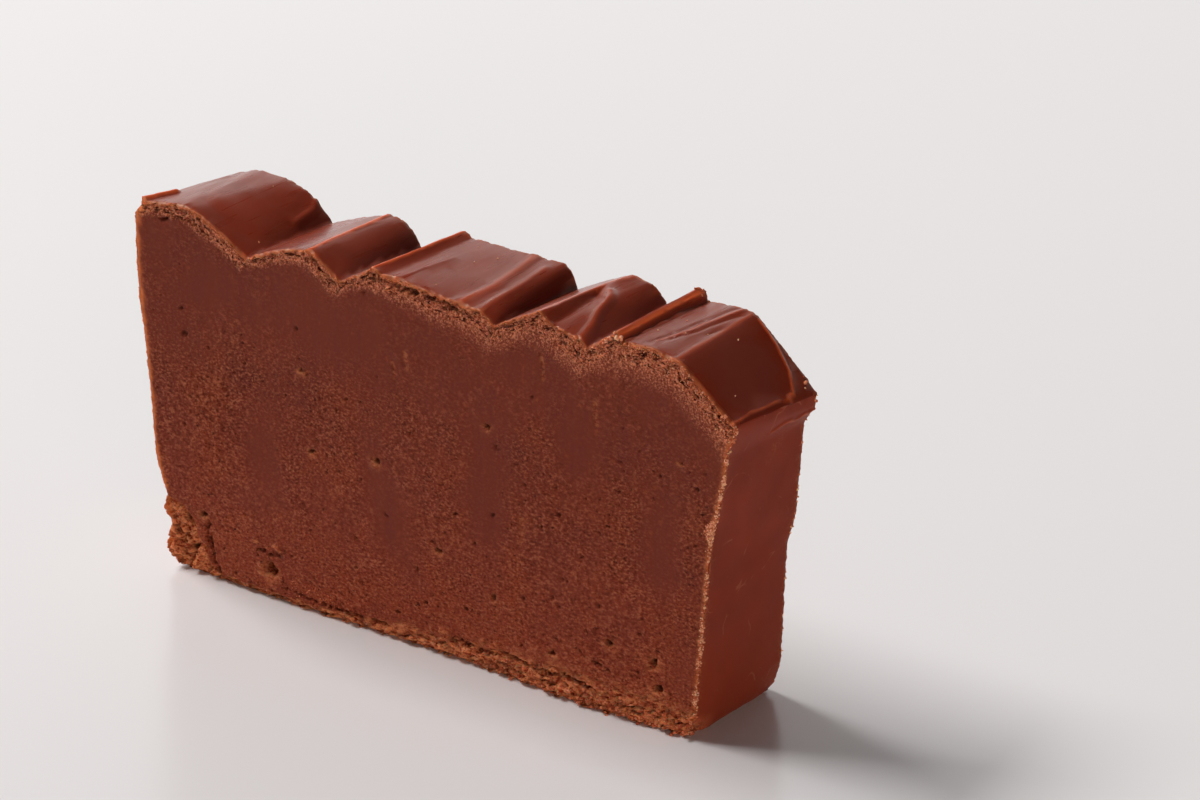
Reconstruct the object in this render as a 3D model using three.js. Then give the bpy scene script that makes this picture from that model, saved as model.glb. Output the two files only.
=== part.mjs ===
// A thick slice of chocolate fudge, cut across a loaf that was worked with a paddle, so its top keeps
// the paddle's ridges. It is one solid body, and it stands on its long, narrow underside.
//
// Millimetres, +Z up. X runs along the slice, Y goes from the front cut to the back cut, and the
// origin is the middle of the underside.

import * as THREE from 'three';

// Driving sizes
const THICKNESS = 23;
const EDGE_WEAR = 0.45;
const CUT_UNEVENNESS = 0.3;

// The top's outline along the two cuts, as [x, z] points.
const LEFT_CORNER = { front: [-63.2, 68.8], back: [-63.4, 67.2] };
const RIGHT_CORNER = { front: [64.2, 58.2], back: [64.2, 56.6] };

// The waves of the top, from left to right. Each rises to a crest, runs on to a shoulder and falls to
// a foot, where the next one starts. Fullness is the power of the rise's curve and of the fall's: 1 is
// straight, and more is rounder. Steps are the facets of the rise, the run and the fall.
const WAVES = [
  // First ridge
  {
    front: { crest: [-53.2, 70.1], shoulder: [-52.4, 69.9], foot: [-39.0, 63.5], fullness: [1.3, 1.3] },
    back: { crest: [-54.7, 70.0], shoulder: [-49.8, 69.8], foot: [-38.6, 63.6], fullness: [1.3, 2.0] },
    steps: [4, 1, 5],
  },
  // Second ridge
  {
    front: { crest: [-24.8, 68.0], shoulder: [-23.9, 68.0], foot: [-17.8, 64.1], fullness: [1.5, 1] },
    back: { crest: [-25.6, 67.8], shoulder: [-24.7, 67.8], foot: [-18.5, 63.3], fullness: [1.2, 2.4] },
    steps: [5, 1, 3],
  },
  // Sharp lip of the third ridge
  {
    front: { crest: [-10.2, 67.9], shoulder: [-9.5, 67.9], foot: [-8.8, 67.3], fullness: [1.15, 1] },
    back: { crest: [-8.6, 68.3], shoulder: [-7.9, 68.3], foot: [-7.2, 67.7], fullness: [1.15, 1] },
    steps: [4, 1, 1],
  },
  // Flat back of the third ridge
  {
    front: { crest: [-4.9, 67.4], shoulder: [10.8, 65.7], foot: [15.2, 63.6], fullness: [1, 2.4] },
    back: { crest: [-3.0, 67.7], shoulder: [12.6, 67.6], foot: [15.6, 63.4], fullness: [1, 2.4] },
    steps: [1, 4, 3],
  },
  // Fourth ridge
  {
    front: { crest: [25.0, 68.3], shoulder: [26.2, 67.8], foot: [34.4, 64.4], fullness: [1.2, 1.5] },
    back: { crest: [27.1, 68.5], shoulder: [30.4, 68.1], foot: [34.4, 64.7], fullness: [1.2, 1.5] },
    steps: [5, 1, 4],
  },
  // Fin on the fifth ridge
  {
    front: { crest: [40.3, 68.1], shoulder: [41.4, 68.1], foot: [42.2, 67.2], fullness: [1.15, 1] },
    back: { crest: [40.6, 69.0], shoulder: [41.8, 69.0], foot: [42.8, 67.5], fullness: [1.15, 1] },
    steps: [4, 1, 1],
  },
  // Flat back of the fifth ridge, with the steep slope beyond it
  {
    front: { crest: [47.8, 67.6], shoulder: [53.3, 66.6], foot: [63.4, 58.6], fullness: [1.4, 1.1] },
    back: { crest: [50.0, 67.8], shoulder: [52.1, 67.2], foot: [62.6, 58.2], fullness: [1.4, 1.1] },
    steps: [2, 2, 4],
  },
];

// The left end, by depth below its top corner: it bulges out, then drafts inwards to the foot.
const LEFT_BULGE = 1.9;
const LEFT_BULGE_DEPTH = 3;
const LEFT_DRAFT = 2.4;
const LEFT_DRAFT_START = 10;
const LEFT_DRAFT_END = 52;

// The broken lower left corner: crumbled away up to this height, most of all at the front cut.
const BROKEN_CORNER_TOP = 22;
const BROKEN_CORNER_FLOOR = 13;
const BROKEN_CORNER_DEPTH = 1.7;
const BROKEN_CORNER_FADE = 0.6;
const LEFT_TOE_HEIGHT = 4;
const LEFT_TOE_DEPTH = 3.4;

// The right end, by depth below its top corner: a lip hangs out over it, then it drafts inwards, with
// a step in it part of the way down.
const RIGHT_LIP = { front: 1.2, back: 1.9 };
const RIGHT_LIP_START = { front: 0.5, back: 2 };
const RIGHT_LIP_END = 6.5;
const RIGHT_STEP = { front: 1.6, back: 1.1 };
const RIGHT_STEP_START = { front: 8, back: 21 };
const RIGHT_STEP_END = { front: 24, back: 29 };
const RIGHT_DRAFT = { front: 5.2, back: 3.4 };
const RIGHT_TOE_HEIGHT = 7.5;
const RIGHT_TOE_DEPTH = { front: 0.3, back: 2.2 };

// The foot of the front cut bulges forward on the right, and is chipped on the left.
const FOOT_BULGE = { middle: 34, half: 22, height: 9, depth: 1.1 };
const FOOT_CHIP = { middle: -46, half: 7, depth: 0.9 };

// Facets through the thickness and up the height, closer together towards the edges
const THICKNESS_STEPS = 8;
const HEIGHT_STEPS = 14;

const lerp = THREE.MathUtils.lerp;
const smoothstep = THREE.MathUtils.smoothstep;

// 1 at the middle, falling smoothly to 0 at half a width away
function hump(value, middle, half) {
  const away = Math.min(Math.abs(value - middle) / half, 1);
  return (1 - away * away) ** 2;
}

// Fractions from 0 to 1 that crowd towards both ends
function crowdedFractions(steps) {
  const fractions = [];
  for (let i = 0; i <= steps; i += 1) {
    fractions.push(0.5 - 0.5 * Math.cos((Math.PI * i) / steps));
  }
  return fractions;
}

// The top's outline along one cut, 'front' or 'back', as a list of [x, z]
function topOutline(cut) {
  const outline = [LEFT_CORNER[cut]];
  let [startX, startZ] = LEFT_CORNER[cut];
  for (const wave of WAVES) {
    const { crest, shoulder, foot, fullness } = wave[cut];
    const [riseFullness, fallFullness] = fullness;
    const [riseSteps, runSteps, fallSteps] = wave.steps;
    for (let i = 1; i <= riseSteps; i += 1) {
      const t = i / riseSteps;
      const lift = 1 - (1 - t) ** riseFullness;
      outline.push([lerp(startX, crest[0], t), lerp(startZ, crest[1], lift)]);
    }
    for (let i = 1; i <= runSteps; i += 1) {
      const t = i / runSteps;
      outline.push([lerp(crest[0], shoulder[0], t), lerp(crest[1], shoulder[1], t)]);
    }
    for (let i = 1; i <= fallSteps; i += 1) {
      const t = i / fallSteps;
      outline.push([lerp(shoulder[0], foot[0], t), lerp(shoulder[1], foot[1], t ** fallFullness)]);
    }
    [startX, startZ] = foot;
  }
  outline.push(RIGHT_CORNER[cut]);
  return outline;
}

// How far the left end lies inside its top corner, at a height z, across the slice from 0 to 1
function leftInset(z, topZ, across) {
  const depth = topZ - z;
  const bulge = LEFT_BULGE * smoothstep(depth, 0, LEFT_BULGE_DEPTH);
  const draft = LEFT_DRAFT * smoothstep(depth, LEFT_DRAFT_START, LEFT_DRAFT_END);
  const missing = 1 - smoothstep(z, BROKEN_CORNER_FLOOR, BROKEN_CORNER_TOP);
  const broken = BROKEN_CORNER_DEPTH * missing * (1 - BROKEN_CORNER_FADE * across);
  const toe = LEFT_TOE_DEPTH * Math.max(0, 1 - z / LEFT_TOE_HEIGHT) ** 2;
  return draft + broken + toe - bulge;
}

// The same for the right end
function rightInset(z, topZ, across) {
  const depth = topZ - z;
  const lipDepth = lerp(RIGHT_LIP.front, RIGHT_LIP.back, across);
  const lipStart = lerp(RIGHT_LIP_START.front, RIGHT_LIP_START.back, across);
  const lip = lipDepth * smoothstep(depth, lipStart, RIGHT_LIP_END);
  const stepStart = lerp(RIGHT_STEP_START.front, RIGHT_STEP_START.back, across);
  const stepEnd = lerp(RIGHT_STEP_END.front, RIGHT_STEP_END.back, across);
  const stepDepth = lerp(RIGHT_STEP.front, RIGHT_STEP.back, across);
  const step = stepDepth * smoothstep(depth, stepStart, stepEnd);
  const draft = (lerp(RIGHT_DRAFT.front, RIGHT_DRAFT.back, across) * depth) / topZ;
  const toeDepth = lerp(RIGHT_TOE_DEPTH.front, RIGHT_TOE_DEPTH.back, across);
  const toe = toeDepth * Math.max(0, 1 - z / RIGHT_TOE_HEIGHT) ** 2;
  return lip + step + draft + toe;
}

// The slow waviness that the knife leaves in a cut, in millimetres
function cutWaviness(x, z) {
  const broad = Math.sin(x / 15 + 0.6) * Math.cos(z / 13 + x / 60);
  const fine = Math.sin(z / 6 - x / 9);
  return CUT_UNEVENNESS * (broad + 0.4 * fine);
}

// A box whose facets are moved into the slice's form. Column, row and depth count its steps along X,
// up Z and through Y.
function sliceGeometry() {
  const front = topOutline('front');
  const back = topOutline('back');
  const columns = front.length - 1;
  const heights = crowdedFractions(HEIGHT_STEPS);
  const depths = crowdedFractions(THICKNESS_STEPS);

  const geometry = new THREE.BoxGeometry(1, 1, 1, columns, THICKNESS_STEPS, HEIGHT_STEPS);
  const position = geometry.attributes.position;
  for (let i = 0; i < position.count; i += 1) {
    const column = Math.round((position.getX(i) + 0.5) * columns);
    const depth = Math.round((position.getY(i) + 0.5) * THICKNESS_STEPS);
    const row = Math.round((position.getZ(i) + 0.5) * HEIGHT_STEPS);
    const across = depths[depth];
    const up = heights[row];

    const topX = lerp(front[column][0], back[column][0], across);
    const topZ = lerp(front[column][1], back[column][1], across);
    const leftX = lerp(LEFT_CORNER.front[0], LEFT_CORNER.back[0], across);
    const leftZ = lerp(LEFT_CORNER.front[1], LEFT_CORNER.back[1], across);
    const rightX = lerp(RIGHT_CORNER.front[0], RIGHT_CORNER.back[0], across);
    const rightZ = lerp(RIGHT_CORNER.front[1], RIGHT_CORNER.back[1], across);

    const along = (topX - leftX) / (rightX - leftX);
    const leftEnd = leftX + leftInset(up * leftZ, leftZ, across);
    const rightEnd = rightX - rightInset(up * rightZ, rightZ, across);
    let x = lerp(leftEnd, rightEnd, along);
    let z = up * topZ;

    const atCut = depth === 0 || depth === THICKNESS_STEPS;
    const atEnd = column === 0 || column === columns;
    const atFace = row === 0 || row === HEIGHT_STEPS;
    const side = across * 2 - 1;
    const bulge = FOOT_BULGE.depth * hump(x, FOOT_BULGE.middle, FOOT_BULGE.half);
    const bulged = bulge * Math.max(0, 1 - z / FOOT_BULGE.height) * (1 - across);
    let y = (side * THICKNESS) / 2 + cutWaviness(x, z + 40 * across) - bulged;

    if (atCut && (atEnd || atFace)) {
      y -= side * EDGE_WEAR;
    }
    if (atEnd && (atCut || atFace)) {
      x -= (column === 0 ? -1 : 1) * EDGE_WEAR;
    }
    if (atFace && (atCut || atEnd)) {
      z -= (row === 0 ? -1 : 1) * EDGE_WEAR;
    }
    if (row === 0 && depth === 0) {
      z += FOOT_CHIP.depth * hump(x, FOOT_CHIP.middle, FOOT_CHIP.half);
    }
    position.setXYZ(i, x, y, z);
  }

  geometry.computeBoundingBox();
  const { min, max } = geometry.boundingBox;
  geometry.translate(-(min.x + max.x) / 2, -(min.y + max.y) / 2, -min.z);
  geometry.computeVertexNormals();
  return geometry;
}

const chocolateFudge = new THREE.MeshStandardMaterial({
  color: 0x6a3022,
  roughness: 0.5,
  metalness: 0,
});

const fudgeSlice = new THREE.Mesh(sliceGeometry(), chocolateFudge);
fudgeSlice.name = 'fudge_slice';

const fudge = new THREE.Group();
fudge.add(fudgeSlice);

export default fudge;
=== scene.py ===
# A thick slice of chocolate fudge, cut with a knife from a loaf that was worked with a paddle.
# Sizes are in millimetres and become metres when a mesh is made. X runs along the slice, Y from the
# front cut to the back cut, and Z up.

import math
from itertools import product

import bmesh
import bpy
import numpy as np
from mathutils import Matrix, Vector


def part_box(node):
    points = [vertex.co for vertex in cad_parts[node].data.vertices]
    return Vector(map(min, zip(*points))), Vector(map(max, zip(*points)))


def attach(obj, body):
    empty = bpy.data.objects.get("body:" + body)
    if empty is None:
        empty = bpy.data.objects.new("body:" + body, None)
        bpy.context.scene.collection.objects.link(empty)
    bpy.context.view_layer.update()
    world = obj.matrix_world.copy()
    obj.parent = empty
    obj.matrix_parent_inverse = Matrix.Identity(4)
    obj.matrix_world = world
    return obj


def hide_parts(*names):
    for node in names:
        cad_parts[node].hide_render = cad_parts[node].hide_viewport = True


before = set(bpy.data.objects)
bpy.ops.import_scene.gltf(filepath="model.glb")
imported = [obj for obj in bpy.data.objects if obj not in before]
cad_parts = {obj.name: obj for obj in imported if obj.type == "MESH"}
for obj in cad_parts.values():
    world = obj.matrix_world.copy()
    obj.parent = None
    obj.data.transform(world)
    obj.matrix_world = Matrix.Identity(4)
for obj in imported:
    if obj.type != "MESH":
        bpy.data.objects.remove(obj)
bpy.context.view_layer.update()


# ------------------------------------------------------------
# The slice. A block of cooked milk-chocolate fudge. The paddle left a satin skin with ridges on the
# top, and the loaf's sides are its two ends. The knife dragged across the front and the back, which
# left them sandy, with a dry, paler, crumbly band under the skin and a broken foot.

MM = 0.001
SLICE_LOW, SLICE_HIGH = (np.array(corner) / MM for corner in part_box("fudge_slice"))
THICKNESS = 23.0
USUAL_HEIGHT = 68.0

# The top's outline along the front cut and along the back cut, as (x, z): two corners, and for each
# wave its crest, its shoulder and its foot
LEFT_CORNER = ((-63.2, 68.8), (-63.4, 67.2))
RIGHT_CORNER = ((64.2, 58.2), (64.2, 56.6))
WAVES = {
    "first ridge": (
        ((-53.2, 70.1), (-52.4, 69.9), (-39.0, 63.5)),
        ((-54.7, 70.0), (-49.8, 69.8), (-38.6, 63.6)),
    ),
    "second ridge": (
        ((-24.8, 68.0), (-23.9, 68.0), (-17.8, 64.1)),
        ((-25.6, 67.8), (-24.7, 67.8), (-18.5, 63.3)),
    ),
    "sharp lip of the third ridge": (
        ((-10.2, 67.9), (-9.5, 67.9), (-8.8, 67.3)),
        ((-8.6, 68.3), (-7.9, 68.3), (-7.2, 67.7)),
    ),
    "flat back of the third ridge": (
        ((-4.9, 67.4), (10.8, 65.7), (15.2, 63.6)),
        ((-3.0, 67.7), (12.6, 67.6), (15.6, 63.4)),
    ),
    "fourth ridge": (
        ((25.0, 68.3), (26.2, 67.8), (34.4, 64.4)),
        ((27.1, 68.5), (30.4, 68.1), (34.4, 64.7)),
    ),
    "fin on the fifth ridge": (
        ((40.3, 68.1), (41.4, 68.1), (42.2, 67.2)),
        ((40.6, 69.0), (41.8, 69.0), (42.8, 67.5)),
    ),
    "flat back and steep slope of the fifth ridge": (
        ((47.8, 67.6), (53.3, 66.6), (63.4, 58.6)),
        ((50.0, 67.8), (52.1, 67.2), (62.6, 58.2)),
    ),
}
# How round the rise and the fall of each wave are, along the front cut and the back cut: 1 is straight
FULLNESS = (
    ((1.3, 1.3), (1.5, 1.0), (1.15, 1.0), (1.0, 2.4), (1.2, 1.5), (1.15, 1.0), (1.4, 1.1)),
    ((1.3, 2.0), (1.2, 2.4), (1.15, 1.0), (1.0, 2.4), (1.2, 1.5), (1.15, 1.0), (1.4, 1.1)),
)
# The mesh's spacing near the edges, away from them and along the top's outline, and how worn the edges are
FINE_STEP = 0.26
COARSE_STEP = 0.36
TOP_STEP = 0.32
EDGE_RADIUS = 0.38


def smooth(value, start, end):
    """0 up to start, 1 from end, with a smooth climb between them."""
    t = np.clip((value - start) / (end - start), 0, 1.0)
    return t * t * (3.0 - 2.0 * t)


def fade(value, start, end):
    """1 up to start, 0 from end."""
    return 1 - smooth(value, start, end)


def lerp(start, end, share):
    return start + (end - start) * share


def bump(away):
    """1 where away is 0, falling smoothly to 0 where it is 1 or more."""
    return np.clip(1.0 - away * away, 0, None) ** 2


def scramble(i, j, seed):
    """A repeatable random number from 0 to 1 for each pair of whole numbers."""
    mixed = (i * 374761393 + j * 668265263 + seed * 1442695041) & 0xFFFFFFFF
    mixed = ((mixed ^ (mixed >> 13)) * 1274126177) & 0xFFFFFFFF
    return ((mixed ^ (mixed >> 16)) & 0xFFFFFF) / 0xFFFFFF


def squares(u, v, size):
    """Places on a face counted in squares of a size, and the square that each one lies in."""
    u, v = u / size, v / size
    return u, v, np.floor(u).astype(np.int64), np.floor(v).astype(np.int64)


def swell(u, v, size, seed):
    """A smooth random height from -1 to 1 over a face, with swells about size millimetres apart."""
    u, v, i, j = squares(u, v, size)
    fu, fv = u - i, v - j
    su, sv = fu**3 * (fu * (fu * 6 - 15) + 10), fv**3 * (fv * (fv * 6 - 15) + 10)
    total = np.zeros_like(u)
    for a, b in product((0, 1), repeat=2):
        angle = scramble(i + a, j + b, seed) * 2 * math.pi
        slope = np.cos(angle) * (fu - a) + np.sin(angle) * (fv - b)
        total += slope * (su if a else 1 - su) * (sv if b else 1 - sv)
    return total * 1.5


def rubble(u, v, size, seed, octaves=3):
    """Swells with finer and finer swells on them."""
    return sum(swell(u, v, size / 2**k, seed + k) / 1.8**k for k in range(octaves)) / 1.6


def packed(u, v, size, seed):
    """Grains packed side by side: each one's dome, from 0 to 1, and its own random number."""
    u, v, i, j = squares(u, v, size)
    nearest = np.full(u.shape, 9.0)
    own = np.zeros(u.shape)
    for a, b in product((-1, 0, 1), repeat=2):
        cu = i + a + 0.15 + 0.7 * scramble(i + a, j + b, seed)
        cv = j + b + 0.15 + 0.7 * scramble(i + a, j + b, seed + 1)
        away = (u - cu) ** 2 + (v - cv) ** 2
        closer = away < nearest
        nearest = np.where(closer, away, nearest)
        own = np.where(closer, scramble(i + a, j + b, seed + 2), own)
    return np.clip(1.0 - 2.2 * nearest, 0, 1.0), own


def pocked(u, v, spacing, chance, seed):
    """Small holes, with a chance of one in each square of a grid: 1 at their middles, 0 outside."""
    u, v, i, j = squares(u, v, spacing)
    deepest = np.zeros(u.shape)
    for a, b in product((-1, 0, 1), repeat=2):
        du = u - i - a - scramble(i + a, j + b, seed)
        dv = v - j - b - scramble(i + a, j + b, seed + 1)
        radius = 0.08 + 0.1 * scramble(i + a, j + b, seed + 2) ** 2
        there = scramble(i + a, j + b, seed + 3) < chance
        deepest = np.maximum(deepest, there * bump(np.hypot(du, dv) / radius))
    return deepest


def from_line(u, v, line):
    """How far each place on a face lies from a line through a few points."""
    nearest = np.full(u.shape, 1e9)
    for (u0, v0), (u1, v1) in zip(line[:-1], line[1:]):
        du, dv = u1 - u0, v1 - v0
        t = np.clip(((u - u0) * du + (v - v0) * dv) / (du * du + dv * dv), 0, 1)
        nearest = np.minimum(nearest, np.hypot(u - u0 - t * du, v - v0 - t * dv))
    return nearest


def top_outline(cut):
    """The top's outline along the front cut (0) or the back cut (1), as closely spaced x and z."""
    ends = [LEFT_CORNER]
    bends = []
    for (front, back), (rise, fall) in zip(WAVES.values(), FULLNESS[cut]):
        ends += list(zip(front, back))
        bends += [(rise, 1.0), (1.0, 1.0), (1.0, fall)]
    ends.append(RIGHT_CORNER)
    bends.append((1.0, 1.0))
    ends = np.array(ends)
    points = [ends[:1, cut]]
    for start, end, (rise, fall) in zip(ends[:-1], ends[1:], bends):
        steps = max(2, round(np.linalg.norm(end[0] - start[0]) / TOP_STEP))
        t = np.arange(1, steps + 1)[:, None] / steps
        climb = np.hstack([t, 1 - (1 - t**fall) ** rise])
        points.append(lerp(start[cut], end[cut], climb))
    return np.vstack(points)


def crowded_shares(length, zone):
    """Shares from 0 to 1 along a length, fine in a zone at each end and coarse from 4 mm beyond it."""
    places = [0]
    while places[-1] < length:
        to_end = min(places[-1], length - places[-1])
        places.append(places[-1] + lerp(FINE_STEP, COARSE_STEP, smooth(to_end, zone, zone + 4.0)))
    return np.array(places) / places[-1]


def box_skin(columns, depths, rows):
    """The points of a box's skin, counted in steps along X, Y and Z, and its quads by side."""
    on_skin = np.zeros((columns + 1, depths + 1, rows + 1), bool)
    on_skin[[0, -1]] = on_skin[:, [0, -1]] = on_skin[:, :, [0, -1]] = True
    number = np.zeros(on_skin.shape, np.int32)
    number[on_skin] = np.arange(on_skin.sum())
    sheets = {
        "front": (number[:, 0, :], False),
        "back": (number[:, -1, :], True),
        "left": (number[0], True),
        "right": (number[-1], False),
        "bottom": (number[:, :, 0], True),
        "top": (number[:, :, -1], False),
    }
    quads = {}
    for side, (sheet, flip) in sheets.items():
        corners = [sheet[:-1, :-1], sheet[1:, :-1], sheet[1:, 1:], sheet[:-1, 1:]]
        quads[side] = np.stack(corners[::-1] if flip else corners, -1).reshape(-1, 4)
    return np.argwhere(on_skin), quads


# The form, as a box of points moved into place
outlines = np.array([top_outline(0), top_outline(1)])
rows = crowded_shares(length=USUAL_HEIGHT, zone=8.0)
depths = crowded_shares(length=THICKNESS, zone=1.5)
steps, quads = box_skin(len(outlines[0]) - 1, len(depths) - 1, len(rows) - 1)
column, depth, row = steps.T
across, up = depths[depth], rows[row]
top_x, top_z = lerp(outlines[0][column], outlines[1][column], across[:, None]).T
left_x, left_z = lerp(*np.array(LEFT_CORNER), across[:, None]).T
right_x, right_z = lerp(*np.array(RIGHT_CORNER), across[:, None]).T

# The left end bulges under its corner, drafts inwards, and its lower corner is broken off.
z = up * left_z
left_end = (
    left_x
    - 1.9 * smooth(left_z - z, 0, 3)
    + 2.4 * smooth(left_z - z, 10, 52)
    + 1.7 * fade(z, 13, 22) * (1 - 0.6 * across)
    + 3.4 * np.clip(1 - z / 4.0, 0, 1) ** 2
)
# A lip hangs out over the right end, most of all at the back, and the end drafts inwards below it.
z = up * right_z
right_end = (
    right_x
    - lerp(1.2, 1.9, across) * smooth(right_z - z, lerp(0.5, 2.0, across), 6.5)
    - lerp(1.6, 1.1, across) * smooth(right_z - z, lerp(8.0, 21.0, across), lerp(24.0, 29.0, across))
    - lerp(5.2, 3.4, across) * (1 - up)
    - lerp(0.3, 2.2, across) * np.clip(1 - z / 7.5, 0, 1) ** 2
)
x = lerp(left_end, right_end, (top_x - left_x) / (right_x - left_x))
z = up * top_z
y = (across - 0.5) * THICKNESS
# The knife left long, shallow waves in both cuts, and the foot bulges out of the front one.
travel = z + 40 * across
knife_wave = np.sin(x / 15 + 0.6) * np.cos(travel / 13 + x / 60) + 0.4 * np.sin(travel / 6 - x / 9)
foot_bulge = 1.1 * bump((x - 34) / 22) * np.clip(1 - z / 9, 0, 1) * (1 - across)
points = np.stack([x, y + 0.3 * knife_wave - foot_bulge, z], 1)
shift = (SLICE_LOW + SLICE_HIGH) / 2 - (points.min(0) + points.max(0)) / 2
points += shift * (1, 1, 0)
x, y = points[:, 0].copy(), points[:, 1].copy()

# How far each point lies from each of the six sides, which points are on it, and which way is in
SIDES = {
    "front": (across * THICKNESS, depth == 0, (0, 1, 0)),
    "back": ((1 - across) * THICKNESS, depth == depth.max(), (0, -1, 0)),
    "left": (x - shift[0] - left_end, column == 0, (1, 0, 0)),
    "right": (right_end + shift[0] - x, column == column.max(), (-1, 0, 0)),
    "bottom": (z, row == 0, (0, 0, 1)),
    "top": (top_z - z, row == row.max(), (0, 0, -1)),
}
distance = {side: np.clip(reach, 0, None) for side, (reach, _, _) in SIDES.items()}

# The edges are rounded. An edge's own points move in by this share of the radius, from both its sides.
CORNER_INSET = 0.29
for side, (_, on_side, inward) in SIDES.items():
    fading = np.clip(1 - distance[side] / EDGE_RADIUS, 0, 1)
    inset = np.where(on_side, 0, CORNER_INSET * EDGE_RADIUS * fading)
    for other, (_, _, other_inward) in SIDES.items():
        if abs(np.dot(inward, other_inward)) < 0.5:
            moved = CORNER_INSET * EDGE_RADIUS + (1 - CORNER_INSET) * distance[other]
            moved = np.clip(moved, 0, EDGE_RADIUS)
            round_off = EDGE_RADIUS - np.sqrt(EDGE_RADIUS**2 - (EDGE_RADIUS - moved) ** 2)
            inset = np.where(on_side, np.maximum(inset, round_off), inset)
    points += inset[:, None] * np.array(inward)

# Where the knife smeared the front cut smooth: middle x and z, half width, half height, lean
SMEARS = (
    (-36.2, 27.5, 5.0, 12.0, -0.05),
    (-8.2, 26.0, 5.6, 13.0, -0.3),
    (14.2, 35.0, 6.0, 18.0, 0),
    (-17.0, 53.5, 15.0, 5.5, 0.6),
    (-47.0, 56.0, 10.0, 6.5, 0.3),
    (33.0, 47.0, 6.0, 8.0, -0.2),
    (50.0, 34.0, 5.0, 12.0, 0),
)
# Single holes in the front cut: x, z, radius, depth
HOLES = (
    (-34.9, 6.0, 1.55, 5.5), (-54.6, 10.4, 1.1, 1.4), (-57.4, 7.2, 1.0, 1.6), (-53.6, 4.6, 1.2, 1.4),
    (-50.6, 12.2, 0.8, 1.2), (48.8, 12.2, 0.9, 1.2), (49.8, 7.5, 0.9, 1.2), (39.9, 13.0, 0.7, 1.0),
    (3.4, 19.8, 0.7, 0.8), (15.2, 14.3, 0.5, 0.6), (27.9, 7.7, 0.6, 0.7), (-24.8, 30.9, 0.6, 0.6),
    (-10.3, 32.9, 0.7, 0.7), (-26.5, 45.5, 0.6, 0.6), (54.1, 49.0, 0.4, 0.6), (14.5, 45.6, 0.6, 0.8),
)
# Cracks in the front cut, and flakes that stand out of it, whose depth is below 0: the points they run
# through, half width, depth
CRACKS = (
    (((33.0, 10.0), (35.5, 8.6), (38.8, 8.4), (42.0, 6.6)), 0.25, 0.6),
    (((-58.0, 66.4), (-54.2, 67.6), (-51.1, 67.5), (-47.2, 65.6)), 0.3, 0.9),
    (((-49.4, 11.0), (-49.6, 7.7), (-48.4, 3.9), (-46.6, 0.4)), 0.55, 2.0),
    (((-8.4, 66.3), (-4.8, 66.1), (-0.8, 65.6), (5.0, 65.2), (8.8, 64.4)), 0.38, 1.3),
    (((-31.5, 3.2), (-26.0, 2.6), (-18.0, 2.2), (-9.0, 2.4)), 0.3, 0.9),
    (((-37.6, 8.9), (-36.2, 9.2)), 0.35, 0.8),
    (((-34.9, 8.6), (-33.6, 9.1), (-32.4, 8.9)), 0.35, 0.8),
    (((-38.3, 10.6), (-36.5, 10.6)), 0.45, -0.5),
    (((-35.0, 10.2), (-33.2, 10.7), (-32.2, 10.3)), 0.5, -0.6),
    (((-37.3, 6.9), (-36.9, 4.6)), 0.5, -0.4),
    (((5.8, 3.9), (8.6, 3.7), (11.6, 3.3)), 0.6, 1.8),
    (((14.6, 2.0), (17.6, 1.3)), 0.5, 1.5),
    (((1.8, 4.6), (5.0, 4.8)), 0.6, -0.6),
    (((12.8, 5.3), (16.4, 5.4)), 0.6, -0.6),
    (((29.0, 2.0), (34.5, 1.2)), 0.5, -0.6),
    (((38.0, 4.2), (41.0, 3.6), (45.0, 3.6)), 0.6, -0.8),
    (((-6.4, 65.3), (-4.4, 66.0), (-2.2, 65.2)), 0.6, -0.7),
    (((17.0, 4.6), (24.0, 3.6), (31.0, 4.4), (38.0, 3.2), (45.0, 2.6)), 0.35, 1.2),
)
# Strokes where a loose grain tore the front cut on its way down: the points they run through
TEARS = (
    ((25.8, 60.7), (26.2, 56.9)),
    ((36.8, 55.1), (37.2, 51.7)),
    ((21.8, 30.7), (21.5, 26.0)),
    ((-5.9, 52.0), (-5.7, 49.6)),
    ((-3.1, 54.4), (-2.8, 51.6)),
)


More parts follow.
